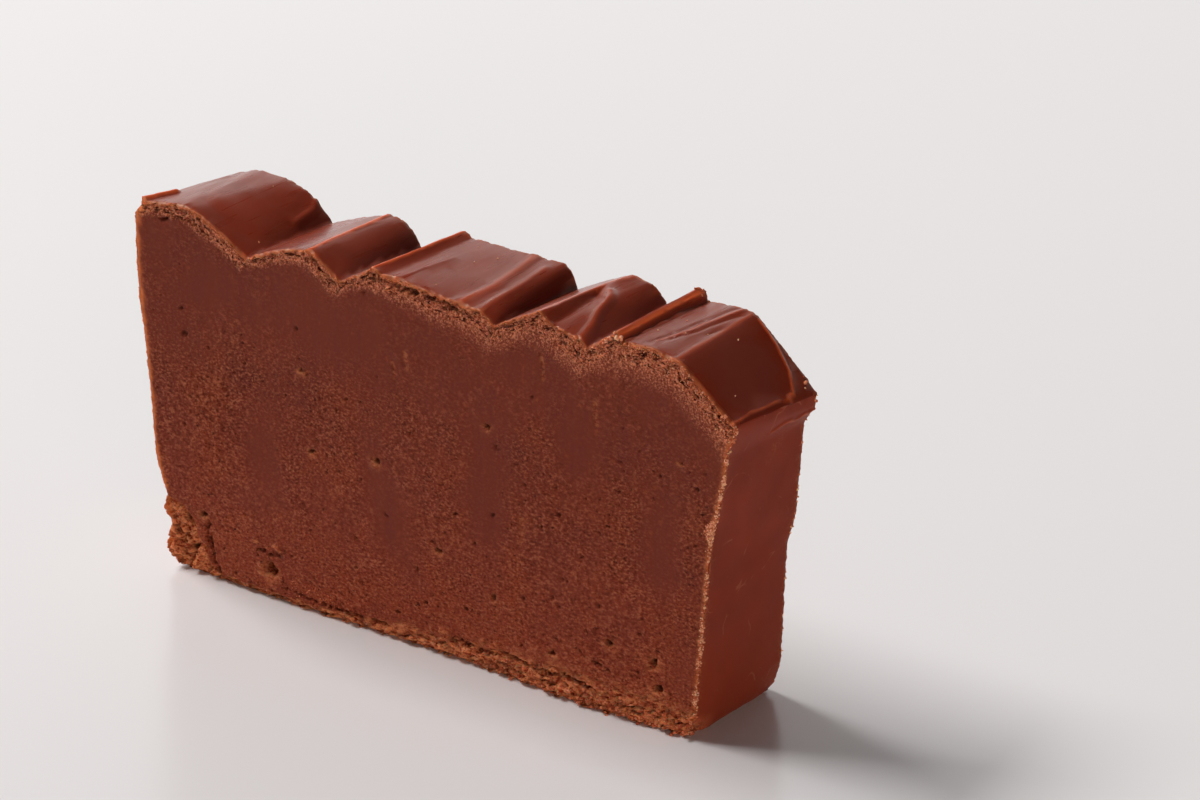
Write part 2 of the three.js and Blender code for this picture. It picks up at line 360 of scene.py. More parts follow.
def cut_zones(x, z, below_skin, from_left, from_right, seed, front):
    """How far each place on a knife cut is skin, band, dusting, edge, foot, broken, chunk and sandy."""
    wobble = rubble(x, z, 5.0, seed)
    fine_wobble = rubble(x, z, 1.3, seed + 3)
    right_hand = smooth(x, -45, 40) if front else 0.5 + 0.5 * swell(x, z * 0, 23, seed + 5)
    depth = below_skin + 0.5 * wobble + 0.3 * fine_wobble
    foot_height = lerp(1.6, 6.0, smooth(x, -34, 36)) if front else 2.6 + 1.4 * swell(x, z * 0, 17, seed + 6)
    height = z + 1.2 * wobble + 0.5 * fine_wobble
    from_end = np.minimum(from_left, from_right) + 0.25 * wobble + 0.3 * fine_wobble
    chunk = fade(np.hypot(from_left / 12.0, z / 15.0) + 0.13 * wobble, 0.86, 0.96)
    toe = fade(np.hypot(from_right / 9, z / 5.5) + 0.2 * wobble, 0.7, 1.1)
    skin = fade(below_skin + 0.35 * fine_wobble + 0.15 * wobble, 0.05, 0.35)
    band = fade(depth, lerp(1.7, 2.2, right_hand), lerp(3.2, 4.6, right_hand))
    dusting = fade(depth + 0.5 * wobble, lerp(1.0, 2.5, right_hand), lerp(3.4, 8.5, right_hand))
    edge = np.maximum(
        fade(from_end + 0.5 * swell(z, x * 0, 2.8, seed + 7), 0, 0.5),
        fade(np.hypot(from_left / 4.0, below_skin / 3.2) + 0.3 * wobble, 0.6, 1.1),
    )
    foot = fade(height, 0.55 * foot_height, 1.2 * foot_height)
    smear = np.zeros_like(x)
    if front:
        for middle_x, middle_z, half_width, half_height, lean in SMEARS:
            across_smear = (x - middle_x - lean * (z - middle_z)) / half_width
            reach = np.hypot(across_smear, (z - middle_z) / half_height)
            reach += 0.2 * wobble + 0.1 * fine_wobble
            smear = np.maximum(smear, fade(reach, 0.3, 1.25))
    else:
        smear = smooth(swell(x + 0.3 * z, z * 0.45, 11.0, seed + 9), 0.1, 0.5)
    sandy = 0.76 - 0.48 * smooth(z, 34, 56) + 0.42 * rubble(x, z, 13.0, seed + 11, 2) + 0.26 * wobble
    sandy += 0.25 * bump(np.hypot((x + 43) / 19, (z - 36) / 22)) + 0.22 * fine_wobble
    sandy = np.clip(sandy, 0.12, 1) * (1 - 0.85 * smear)
    return skin, band, dusting, edge, foot, np.maximum(chunk, toe), chunk, sandy


def cut_relief(x, z, below_skin, from_left, from_right, seed, front):
    """How far a knife cut stands out, how dried-out, torn and sandy it is there, where painted highlights
    and painted shade fall on it, and where a painted glow shows at its edges.
    """
    zones = cut_zones(x, z, below_skin, from_left, from_right, seed, front)
    skin, band, dusting, edge, foot, broken, chunk, sandy = zones
    crumbly = np.maximum.reduce([band * (1 - skin), foot, edge, broken])
    plain = 1 - crumbly
    bent_x = x + 0.35 * rubble(x, z, 1.3, seed + 14)
    bent_z = z + 0.3 * rubble(x, z, 1.3, seed + 17)

    # Knobs of crumb of two sizes, with gaps between them
    big, big_own = packed(bent_x, bent_z, 1.35, seed + 20)
    small, small_own = packed(bent_x, bent_z, 0.68, seed + 30)
    knobs = 0.3 * (big - 0.55) * (0.4 + big_own) + 0.34 * (small - 0.55) * (0.4 + small_own)
    lumpy = np.maximum(crumbly - 0.5 * edge * (1 - foot) - 0.65 * foot, 0)
    height = lumpy * knobs + 0.3 * dusting * plain * knobs - 0.1 * band * (1 - skin)
    # Gaps where the skin has come away from the crumb below it
    gap = smooth(swell(x + bent_z, below_skin * 2.4, 2.8, seed + 40), 0.12, 0.4)
    gap *= bump((below_skin - 1.1 - 0.5 * rubble(x, z, 4.0, seed + 41)) / 0.65)
    gap *= 0.5 + 0.5 * smooth(x, -45, -20)
    height -= 0.7 * gap
    chink = smooth(rubble(x, 1.8 * below_skin, 1.3, seed + 43), 0.15, 0.4) * band * (1 - skin)
    height -= 0.35 * chink
    # The broken corners, in lumps of a few millimetres
    lump_x = x + 1.5 * rubble(x, z, 3.0, seed + 50)
    lump_z = z + 1.2 * rubble(x, z, 2.4, seed + 51)
    lump, lump_own = packed(lump_x, lump_z, 2.6, seed + 52)
    height += chunk * (1.3 * (lump - 0.6) + 1.3 * lump_own - 0.9)
    height += broken * (0.5 * (lump - 0.6) + 0.6 * rubble(x, z, 1.5, seed + 53) - 0.2)
    # The foot's layers, pressed and dragged along the board: each one stands out at its upper edge
    level = z / 1.7 + 1.3 * rubble(x / 3.0, z / 1.6, 1.6, seed + 60, 3)
    layer = level - np.floor(level)
    whole = smooth(swell(x / 2.6 + 7.0 * np.floor(level), z * 0, 1.0, seed + 61), -0.45, 0.25)
    height += foot * (whole * (1.5 * layer**1.6 - 0.4) + 0.3 * rubble(x, z, 1.6, seed + 62) - 0.35)
    height -= 0.5 * foot * fade(z, 0.2, 1.1)
    # Painted highlight on each layer's upper edge, where light would fall on it, and painted shade in the
    # recess just above each ledge
    ledge = foot * whole * smooth(layer, 0.62, 0.92)
    recess = foot * whole * bump((layer - 0.12) / 0.14)
    # Sandy grain, and the pits that the knife tore in it, wider than they are tall
    grain, grain_own = packed(bent_x, 1.2 * bent_z, 0.75, seed + 70)
    height += 0.2 * plain * sandy * (grain - 0.55) * (0.3 + grain_own)
    pits = pocked(bent_x / 1.7, bent_z, 2.4, 0.55 * smooth(sandy, 0.2, 0.8), seed + 74)
    pits = np.maximum(pits, pocked(bent_x / 1.5, bent_z, 4.5, 0.12, seed + 78))
    pits *= plain * smooth(rubble(x, z, 1.0, seed + 82), -0.5, 0.2)
    pits = smooth(pits, 0.15, 0.6)
    height -= 0.4 * pits
    height += 0.06 * plain * rubble(x, z * 0.4, 3.0, seed + 90) - 0.05 * (1 - sandy)
    # Painted shade: the hollow values darken the gaps under the skin, the pits, the recesses of the foot
    # and the chinks
    hollow_shade = np.maximum.reduce([gap, 0.9 * pits, 0.8 * recess, 0.8 * chink])
    tear_and_lip_highlight = np.zeros_like(x)
    if front:
        # The front's left edge was dragged round towards the end, raggedly.
        rim = fade(from_left + 0.4 * rubble(x, z, 1.6, seed + 102), 0, 1.4)
        height -= 0.45 * rim * (1 - chunk)
        # The foot stands clear of the board on the left.
        height -= 1.1 * bump((x + 39) / 13) * fade(z, 0.1, 1.5)
        ragged_x, ragged_z = 2.2 * bent_x - 1.2 * x, 2.2 * bent_z - 1.2 * z
        for hole_x, hole_z, radius, hole_depth in HOLES:
            away_x = (ragged_x - hole_x) / (1.6 if radius < 1 else 1.1)
            away_z = ragged_z - hole_z
            steep = 3.0 if radius > 1.5 else 1.5
            hole = np.clip(steep * bump(np.hypot(away_x, away_z) / radius), 0, 1)
            height -= hole_depth * hole
            # Painted shade inside each hole
            hollow_shade = np.maximum(hollow_shade, hole)
            # The fudge below a hole is torn and painted paler, a painted highlight where its lower lip
            # would catch the light.
            tear_and_lip_highlight = np.maximum(tear_and_lip_highlight, bump(np.hypot(away_x, away_z + 0.6 * radius) / (2.0 * radius)))
        broken_up = smooth(rubble(x, z, 1.6, seed + 95), -0.25, 0.15)
        for line, half_width, crack_depth in CRACKS:
            crack = broken_up * bump(from_line(bent_x, bent_z, line) / (1.5 * half_width))
            height -= crack_depth * crack
            # Painted shade in the cracks, and a painted highlight on the flakes that stand out
            hollow_shade = np.maximum(hollow_shade, crack * (crack_depth > 0))
            tear_and_lip_highlight = np.maximum(tear_and_lip_highlight, crack * (crack_depth < 0))
        for line in TEARS:
            stroke = bump(from_line(bent_x, bent_z, line) / 0.75) * smooth(small, 0.1, 0.6)
            height -= 0.25 * stroke
            tear_and_lip_highlight = np.maximum(tear_and_lip_highlight, 0.7 * stroke)
    # Painted shade where the crumbly relief sinks deepest
    deep = crumbly * (1 - 0.7 * chunk) * (1 - 0.5 * foot)
    hollow_shade = np.maximum(hollow_shade, deep * smooth(-height, 0.55, 1.3))
    paler = 1.0 if front else 0.8
    dry_and_ledge_highlight = np.clip(paler * (0.6 * band + 0.5 * dusting) + 0.5 * edge, 0, 1) * (1 - 0.5 * skin)
    # Painted highlight: the upper edges of the foot's layers are painted paler, carried with the dry value
    dry_and_ledge_highlight = np.maximum(dry_and_ledge_highlight, 0.6 * ledge)
    flaked = foot * smooth(rubble(x, z, 3.0, seed + 101), -0.7, 0.1)
    # The torn value also carries the painted highlights below the holes and on the raised flakes
    torn = np.maximum.reduce([flaked, broken, edge, 0.6 * tear_and_lip_highlight, 0.6 * skin])
    # A painted glow under the skin, as if light shone through the thin fudge there, and a painted rim light
    # along the front's left edge and faintly its right one
    thin_glow = 0.6 * skin * smooth(rubble(x, below_skin, 1.6, seed + 97), -0.1, 0.5)
    if front:
        left_rim = fade(from_left + 0.6 * rubble(x, z, 2.5, seed + 98), 0.5, 2.0)
        right_rim = fade(from_right + 0.6 * swell(x, z, 2.5, seed + 99), 0.2, 0.8)
        thin_glow = np.maximum.reduce([thin_glow, left_rim, 0.1 * right_rim])
    return height, {"dry_and_ledge_highlight": dry_and_ledge_highlight, "torn": torn, "sandy": sandy, "hollow_shade": hollow_shade, "thin_glow": thin_glow}


# Lines that the paddle left in the skin of the top: the points (x, y) along each, its half width,
# how high it stands, and how strong a painted glow is along it, as if light shone through thin, clear fudge
PADDLE_LINES = {
    "curled lip of the left end": (((-62.6, -12), (-61.7, -8.0), (-60.7, -4.2)), 0.9, 0.8, 1.0),
    "knob behind the lip": (((-59.6, 5.4), (-59.2, 7.2)), 0.9, 0.2, 0.3),
    "ledge behind the first ridge": (((-41.6, 12), (-40.5, 9.0), (-39.9, 4.0)), 0.8, 0.45, 0.2),
    "crest of the second ridge": (((-24.4, -12), (-25.2, 12)), 0.6, 0.28, 1.0),
    "crest of the third ridge": (((-9.9, -12), (-8.2, 12)), 0.55, 0.5, 1.0),
    "wrinkle behind that crest": (
        ((-7.2, -11.0), (-4.7, -10.2), (-3.9, -3.6), (-2.9, 1.8)), 0.6, 0.14, 0,
    ),
    "first fold of the third ridge": (((8.5, -10.5), (9.3, -2.3), (7.5, 12)), 1.2, 0.22, 0.4),
    "second fold of the third ridge": (((12.8, -10.5), (12.4, -1.0), (12.0, 8.0)), 0.9, 0.22, 0.3),
    "crest of the fourth ridge": (((24.7, -12), (25.6, 5.8), (28.4, 12)), 0.9, 0.25, 0.55),
    "swirl on the fourth ridge": (
        ((28.4, 4.2), (29.6, 3.0), (30.4, 0.4), (31.4, -3.2), (32.6, -6.4), (34.0, -12)), 1.0, 0.46, 0.3,
    ),
    "rope of the fin": (((40.8, -12), (41.2, 12)), 0.5, 0.5, 0),
    "thin crest of the rope": (((40.4, -12), (40.8, 12)), 0.4, 0, 1.0),
    "clear flank of the fin": (((41.5, -12), (41.9, 12)), 0.6, 0, 0.9),
    "groove beside the fin": (((42.2, -12), (42.8, 12)), 0.32, -0.6, 0),
    "first groove of the fifth ridge": (
        ((46.0, -9.0), (47.2, -4.5), (48.0, 1.5), (49.3, 11.0)), 0.5, -0.18, 0,
    ),
    "first ridge beside it": (((46.9, -8.0), (48.1, -4.5), (48.9, 1.5), (50.3, 11.0)), 0.4, 0.14, 0.5),
    "second groove of the fifth ridge": (((48.5, -6.5), (49.9, 0), (51.0, 9.0)), 0.45, -0.14, 0),
    "slit beside the shoulder": (((51.5, -0.3), (52.0, 2.6)), 0.25, -0.1, 0),
    "shoulder of the steep slope": (((53.2, -12), (52.0, 12)), 0.6, 0.12, 0.4),
    "foot of the steep slope": (((64.2, -12), (63.9, -3.7), (64.2, 4.3)), 0.24, 0.18, 0.7),
}
# The edge of a thin strip of skin that was pulled over the steep slope's back corner
STRIP_EDGE = ((53.6, 11.2), (57.7, 10.5), (61.1, 9.0), (63.6, 6.5), (64.2, 4.3))
# Where the paddle's corner turned as it left the first ridge, and the crest and the curved edge of the
# scoop that it took out of the fourth ridge
TURN = (-46.0, 13.0)
SCOOP_CREST = 25.8
SCOOP_EDGE = ((34.0, -12), (32.3, -5.9), (30.3, 0.4), (28.4, 5.0), (27.2, 6.4))


def top_relief(x, y, from_front, from_back):
    """How far the paddled skin stands out, and where a painted glow shows, as if light shone through its
    narrow edges and lines.
    """
    bent_x = x + 0.25 * swell(x, y, 4.0, 107)
    arc = x - 0.006 * (y + 14) ** 2 + 1.2 * swell(x, y, 18.0, 101)
    strength = smooth(swell(x, y, 9.0, 100), -0.4, 0.6) * fade(x, 52, 54)
    height = strength * 0.06 * swell(arc, y / 11, 2.6, 103)
    height += 0.1 * rubble(x, y, 9.0, 104, 2)
    # Streaks that bend round where the paddle turned
    radius = np.hypot(x - TURN[0], 0.55 * (y - TURN[1])) + 0.6 * swell(x, y, 7.0, 110)
    turned = fade(x, -41.0, -38.5)
    height += turned * (0.13 * swell(radius, y * 0, 1.8, 111) + 0.1 * swell(radius, y * 0, 3.4, 112))
    # A painted glow, as if light shone through thin skin, along the paddle's lines, the strip's edge and
    # the rims
    thin_glow = np.zeros_like(x)
    for line, half_width, rise, clear in PADDLE_LINES.values():
        on_line = bump(from_line(bent_x, y, line) / (1.4 * half_width))
        height += rise * on_line
        thin_glow = np.maximum(thin_glow, clear * on_line)
    strip_x, strip_y = zip(*STRIP_EDGE)
    beyond = smooth(y - np.interp(x, strip_x, strip_y), -0.1, 0.3) * (x > STRIP_EDGE[0][0])
    on_edge = bump(from_line(bent_x, y, STRIP_EDGE) / 0.5)
    height += 0.22 * on_edge - 0.12 * beyond
    thin_glow = np.maximum.reduce([thin_glow, on_edge, 0.2 * beyond])
    edge_x, edge_y = zip(*SCOOP_EDGE)
    width = np.maximum(np.interp(y, edge_y, edge_x) - SCOOP_CREST, 0.5)
    share = np.clip((x - SCOOP_CREST) / width, 0, 1)
    height -= 1.6 * smooth(share, 0, 0.3) * (1 - share) * fade(y, 2.5, 6.2)
    edge = np.minimum(from_front, from_back)
    chips = smooth(rubble(x, y, 1.7, 105), -0.1, 0.4) * fade(edge, 0.1, 1.0) * (1 - 0.6 * (y > 0))
    height -= 0.45 * chips
    height += lerp(0.3, 0.1, y > 0) * rubble(x, y, 0.8, 106) * fade(edge, 0.2, 0.9)
    patchy = 0.1 + 0.6 * smooth(rubble(x, y * 0, 2.2, 113), -0.4, 0.4)
    rim = fade(edge + 0.5 * swell(x, y, 2.0, 108), 0, 0.9)
    thin_glow = np.maximum(thin_glow, patchy * rim)
    torn = np.maximum(chips, fade(edge + 0.5 * rubble(x, y, 1.0, 109), 0.05, 0.6))
    return height, {"thin_glow": thin_glow, "torn": 0.9 * torn}


# A raised flap below the lip of the right end, and a curved scratch: the points (y, z) along each
FLAP = ((0.6, 52.6), (4.0, 53.3), (7.5, 53.0), (12.0, 53.4))
SCRATCH = ((9.9, 51.8), (5.2, 50.2), (1.2, 47.6), (-1.5, 44.2))


def end_relief(y, z, from_front, from_back, seed, right):
    """How far the loaf's side stands out: pressed smooth, slightly wavy, and ragged at the cuts."""
    height = 0.16 * rubble(y, z, 9.0, seed, 2) + 0.025 * rubble(y, z, 1.6, seed + 3, 2)
    edge = np.minimum(from_front, from_back)
    ragged = fade(edge, 0.2, 1.2)
    height += ragged * (0.12 * rubble(y, z, 0.9, seed + 5) + 0.14 * rubble(y, z, 3.0, seed + 6))
    # A painted glow, as if light shone through thin fudge, along the ragged edges, on the flap and at the
    # foot's chipped corner
    thin_glow = 0.5 * fade(edge + 0.4 * rubble(y, z, 2.0, seed + 7), 0.1, 0.9)
    if not right:
        # The broken lower corner, carried round from the front cut
        chunk = fade(z + 1.5 * rubble(y, z, 5.0, seed + 8), 12.0, 16.0)
        lump_y = y + 2.2 * rubble(y, z, 4.0, seed + 9)
        lump_z = z + 1.8 * rubble(y, z, 3.0, seed + 12)
        lump, own = packed(lump_y, lump_z, 3.6, seed + 15)
        height += chunk * (0.9 * (lump - 0.8) + 0.9 * own - 1.0 + 0.9 * rubble(y, z, 1.7, seed + 18, 4))
        # Painted shade: the deepest parts of the broken corner lose the paler torn colour
        deep = chunk * smooth(-height, 0.9, 1.9)
        return height, {"thin_glow": thin_glow * (1 - chunk), "torn": np.maximum(0.8 * chunk, ragged) * (1 - deep)}
    wavy_y, wavy_z = y + 0.3 * swell(y, z, 1.5, 9), z + 0.4 * swell(y, z, 2.0, 8)
    flap = bump(from_line(wavy_y, wavy_z, FLAP) / 0.5)
    height += 0.3 * flap
    thin_glow = np.maximum(thin_glow, flap)
    scratch = bump(from_line(y, z, SCRATCH) / 0.5) * 0.5 * smooth(swell(y, z, 4.0, seed + 11), -0.4, 0.2)
    # The front corner of the foot, where layers came away
    away = np.hypot(from_front / 5.0, z / 3.6) + 0.22 * rubble(y, z, 2.0, seed + 12)
    chipped = fade(away, 0.65, 1.0)
    height += chipped * (0.7 * rubble(y / 2, z, 1.2, seed + 13) - 0.9)
    thin_glow = np.maximum(thin_glow, 0.9 * fade(away, 0.9, 1.5))
    return height, {"thin_glow": thin_glow, "torn": np.maximum.reduce([0.7 * ragged, chipped, scratch])}


masks = {name: np.zeros(len(points)) for name in ("dry_and_ledge_highlight", "torn", "sandy", "hollow_shade", "thin_glow")}
masks["below_skin"] = np.minimum(distance["top"], 20.0)
moved = np.zeros_like(points)
SEEDS = {"front": 11, "back": 511, "left": 311, "right": 411, "bottom": 611}
# A side's relief fades out over this distance from it.
FADE = 1.3
for side, (_, _, inward) in SIDES.items():
    near = distance[side] < FADE
    share = fade(distance[side][near], 0, FADE)
    here = {name: reach[near] for name, reach in distance.items()}
    if side in ("front", "back"):
        gaps = (here["top"], here["left"], here["right"])
        height, found = cut_relief(x[near], z[near], *gaps, SEEDS[side], side == "front")
    elif side == "top":
        height, found = top_relief(x[near], y[near], here["front"], here["back"])
    elif side in ("left", "right"):
        gaps = (here["front"], here["back"])
        height, found = end_relief(y[near], z[near], *gaps, SEEDS[side], side == "right")
    else:
        height = 0.25 * rubble(x[near], y[near], 6.0, SEEDS[side]) - 0.1
        found = {"torn": np.ones(near.sum())}
    moved[near] -= (share * height)[:, None] * np.array(inward)
    for name, value in found.items():
        masks[name][near] = np.maximum(masks[name][near], value * share**3)
points += moved
points[:, 2] = np.maximum(points[:, 2], 0)


def build(name, corners, faces, values):
    """A piece made of points in millimetres and faces that are alike, with named values at its points."""
    mesh = bpy.data.meshes.new(name)
    mesh.vertices.add(len(corners))
    mesh.vertices.foreach_set("co", (corners * MM).ravel())
    mesh.loops.add(faces.size)
    mesh.loops.foreach_set("vertex_index", faces.astype(np.int32).ravel())
    mesh.polygons.add(len(faces))
    mesh.polygons.foreach_set("loop_start", np.arange(len(faces)) * faces.shape[1])
    mesh.polygons.foreach_set("loop_total", np.full(len(faces), faces.shape[1]))
    for kind, value in values.items():
        mesh.attributes.new(kind, "FLOAT", "POINT").data.foreach_set("value", value.astype(np.float32))
    mesh.update()
    mesh.validate()
    piece = bpy.data.objects.new(name, mesh)
    bpy.context.scene.collection.objects.link(piece)
    return piece


faces = np.vstack([quads[side] for side in SIDES])
body = build("fudge_slice_body", points, faces, masks)
SKIN_SLOTS = {"front": 0, "back": 0, "bottom": 0, "top": 1, "left": 2, "right": 2}
slots = np.concatenate([np.full(len(quads[side]), SKIN_SLOTS[side]) for side in SIDES])
body.data.polygons.foreach_set("material_index", slots.astype(np.int32))
normals = np.zeros(len(points) * 3, np.float32)
body.data.vertices.foreach_get("normal", normals)
normals = normals.reshape(-1, 3)

# Flat stretches get by with fewer faces, so the crumbly ones keep theirs.
MOST_TRIANGLES = 192000
thinning = body.modifiers.new("decimate", "DECIMATE")
thinning.ratio = MOST_TRIANGLES / (2 * len(faces))
with bpy.context.temp_override(object=body, active_object=body, selected_objects=[body]):
    bpy.ops.object.modifier_apply(modifier=thinning.name)


def linear(hex_colour):
    """An sRGB hex colour as linear red, green, blue and alpha."""
    parts = [int(hex_colour[i : i + 2], 16) / 255 for i in (1, 3, 5)]
    return [p / 12.92 if p <= 0.04045 else ((p + 0.055) / 1.055) ** 2.4 for p in parts] + [1.0]


def node(owner, kind, inputs, output=0, **settings):
    """Adds a node and gives one of its outputs. Inputs are values, hex colours or other outputs."""
    made = owner.node_tree.nodes.new("ShaderNode" + kind)
    for name, value in settings.items():
        setattr(made, name, value)
    for key, value in inputs.items():
        if isinstance(value, bpy.types.NodeSocket):
            owner.node_tree.links.new(value, made.inputs[key])
        else:
            made.inputs[key].default_value = linear(value) if isinstance(value, str) else value
    return made.outputs[output]


def fudge_material(name, specular, roughness, glow_depth):
    """A new material of fudge that light enters to a depth, its shader, and its place in millimetres."""
    made = bpy.data.materials.new(name)
    made.use_nodes = True
    shader = made.node_tree.nodes["Principled BSDF"]
    for socket, value in (
        ("IOR", 1.45), ("Roughness", roughness),
        ("Specular IOR Level", specular), ("Specular Tint", linear("#ffdcae")),
        ("Subsurface Weight", 0.5), ("Subsurface Radius", (1.0, 0.28, 0.12)),
        ("Subsurface Scale", glow_depth * MM),
    ):
        shader.inputs[socket].default_value = value
    metres = node(made, "TexCoord", {}, "Object")
    place = node(made, "VectorMath", {0: metres, "Scale": 1 / MM}, operation="SCALE")
    return made, shader, place


def finish(owner, shader, **sockets):
    """Links the outputs that make up a material's finish to its shader."""
    for name, value in sockets.items():
        owner.node_tree.links.new(value, shader.inputs[name.replace("_", " ")])


# Cooked fudge where the knife went through it: matt and sandy, with sugar grains standing paler in a
# darker ground, partly their own colour and partly painted light on their lit sides and painted shade
# on the others, and smeared darker and smoother where the blade pressed. Grains are 0.46 mm and pits
# 0.8 mm, twice the real ones, so that they show. Pits, chinks and hollows are darkened with painted
# shade, and thin places get a painted glow.
cut, shader, place = fudge_material("knife_cut_fudge", specular=0.1, roughness=0.6, glow_depth=0.12)
sandy, dry_and_ledge_highlight, torn, hollow_shade, thin_glow, below_skin = (
    node(cut, "Attribute", {}, "Fac", attribute_name=name)
    for name in ("sandy", "dry_and_ledge_highlight", "torn", "hollow_shade", "thin_glow", "below_skin")
)
sideways, height = (node(cut, "SeparateXYZ", {0: place}, axis) for axis in ("X", "Z"))
under_skin = node(cut, "CombineXYZ", {0: sideways, 2: below_skin})
upright, squat, flat, along_skin = (
    node(cut, "VectorMath", {0: where, 1: squeeze}, operation="MULTIPLY")
    for where, squeeze in (
        (place, (1.0, 1.0, 0.05)), (place, (0.7, 1.0, 1.1)), (place, (0.6, 1.0, 1.3)),
        (under_skin, (0.55, 1.0, 1.2)),
    )
)
# Each pattern's size in millimetres, its detail and how rough that is
clouds, drag, mottle, pocks, spots, powder, bark, flakes = (
    node(cut, "TexNoise", {"Vector": where, "Scale": 1 / size, "Detail": detail, "Roughness": rough})
    for where, size, detail, rough in (
        (place, 11.0, 3.0, 0.5), (upright, 1.3, 3.0, 0.5), (squat, 0.46, 2.0, 0.6), (squat, 0.8, 2.0, 0.6),
        (place, 1.5, 4.0, 0.7), (place, 0.38, 3.0, 0.7), (along_skin, 0.7, 3.0, 0.65),
        (flat, 0.8, 4.0, 0.7),
    )
)
# Single grains of milk sugar, each in a cell of 0.8 mm and with a random number of its own
cell = {"Vector": place, "Scale": 1 / 0.8}
away = node(cut, "TexVoronoi", cell)
own = node(cut, "SeparateXYZ", {0: node(cut, "TexVoronoi", cell, "Color")}, "X")
dusted = node(cut, "Math", {0: dry_and_ledge_highlight, 1: 0.5, 2: powder}, operation="MULTIPLY_ADD")

# How much of each shows where, in the same order: none at a pattern's first number, and the last
# number's worth at its second
(
    clouds, drag, low, lit,
    shaded, pits, grains, some,
    plenty, glow, dusty, dusted,
    present, chinks, band, raw,
) = (
    node(cut, "MapRange", {0: pattern, 1: none, 2: full, 4: most})
    for pattern, none, full, most in (
        (clouds, 0.35, 0.65, 1), (drag, 0.35, 0.65, 1), (height, 40, 4, 0.5), (mottle, 0.53, 0.66, 0.55),
        (mottle, 0.47, 0.34, 0.75), (pocks, 0.34, 0.28, 1), (away, 0.3, 0.16, 1), (own, 0.45, 0.75, 1),
        (sandy, 0.4, 0.95, 0.5), (spots, 0.6, 0.75, 0.45), (powder, 0.4, 0.62, 1), (dusted, 0.55, 0.98, 1),
        (dry_and_ledge_highlight, 0, 0.2, 1), (bark, 0.45, 0.39, 1), (dry_and_ledge_highlight, 0.5, 0.85, 1), (flakes, 0.39, 0.56, 1),
    )
)
lit, shaded, pits, some, dusted, chinks, torn_share, thin_glow_share, dark = (
    node(cut, "Math", {0: mask, 1: share}, operation="MULTIPLY")
    for mask, share in (
        (lit, sandy), (shaded, sandy), (pits, sandy), (some, plenty), (dusted, present), (chinks, band),
        (torn, 0.8), (thin_glow, 0.8), (hollow_shade, 0.92),
    )
)
grains = node(cut, "Math", {0: grains, 1: some}, operation="MULTIPLY")

ground, smeared, dusty, raw = (
    node(cut, "Mix", {0: share, 6: one, 7: other}, 2, data_type="RGBA")
    for share, one, other in (
        (clouds, "#77352a", "#853c28"), (drag, "#74342a", "#783629"), (dusty, "#9a432e", "#f39b75"),
        (raw, "#9a3318", "#ffa06c"),
    )
)
ground = node(cut, "Mix", {0: low, 6: ground, 7: "#a84a2e"}, 2, data_type="RGBA")
# Over the smeared colour in turn: the ground where sandy, lighter towards the bottom; painted light and
# painted shade on the grain; painted shade in the pits; pale sugar grains; orange spots; paler dust, which
# also paints highlights on the foot's ledges; painted shade in the chinks; torn fudge, with painted
# highlights below holes and on flakes; a painted glow where thin; painted shade in the hollows
colour = smeared
for share, tint in (
    (sandy, ground), (lit, "#c67857"), (shaded, "#471508"), (pits, "#3a120b"), (grains, "#c67856"),
    (glow, "#a8582e"), (dusted, dusty), (chinks, "#44130a"), (torn_share, raw),
    (thin_glow_share, "#e67c46"), (dark, "#300f08"),
):
    colour = node(cut, "Mix", {0: share, 6: colour, 7: tint}, 2, data_type="RGBA")

crumbly = node(cut, "Math", {0: dry_and_ledge_highlight, 1: torn}, operation="MAXIMUM")
lumps = node(cut, "Math", {0: bark, 1: 1.6, 2: powder}, operation="MULTIPLY_ADD")
relief = node(cut, "Math", {0: lumps, 1: crumbly}, operation="MULTIPLY")
grit = node(cut, "Math", {0: pits, 1: -0.8, 2: mottle}, operation="MULTIPLY_ADD")
grit = node(cut, "Math", {0: grains, 1: 0.4, 2: grit}, operation="MULTIPLY_ADD")
for share, part in ((sandy, grit), (0.03, drag)):
    relief = node(cut, "Math", {0: part, 1: share, 2: relief}, operation="MULTIPLY_ADD")
grain = node(cut, "Bump", {"Strength": 1.0, "Distance": 0.6 * MM, "Height": relief})
finish(cut, shader, Base_Color=colour, Normal=grain)

# The skin that set on the paddled top: satin, with faint streaks, a painted glow where it is thin, as if
# light shone through it, and painted shade that makes it darkest on the steep slope
top, shader, place = fudge_material("paddled_fudge_skin", specular=0.5, roughness=0.3, glow_depth=0.9)
torn, thin_glow = (node(top, "Attribute", {}, "Fac", attribute_name=name) for name in ("torn", "thin_glow"))
sideways = node(top, "SeparateXYZ", {0: place}, "X")
along = node(top, "VectorMath", {0: place, 1: (1.0, 0.07, 1.0)}, operation="MULTIPLY")
clouds, streaks, orange_peel = (
    node(top, "TexNoise", {"Vector": where, "Scale": 1 / size, "Detail": detail})
    for where, size, detail in ((place, 7.0, 3.0), (along, 1.2, 1.0), (place, 0.35, 2.0))
)
clouds, steep, glow, calm = (
    node(top, "MapRange", {0: pattern, 1: none, 2: full, 3: least, 4: most})
    for pattern, none, full, least, most in (
        (clouds, 0.3, 0.7, 0, 1), (sideways, 52, 55, 0, 0.8), (thin_glow, 0.15, 1.0, 0, 0.9),
        (sideways, 51, 54, 1, 0),
    )
)
torn_share = node(top, "Math", {0: torn, 1: 0.7}, operation="MULTIPLY")
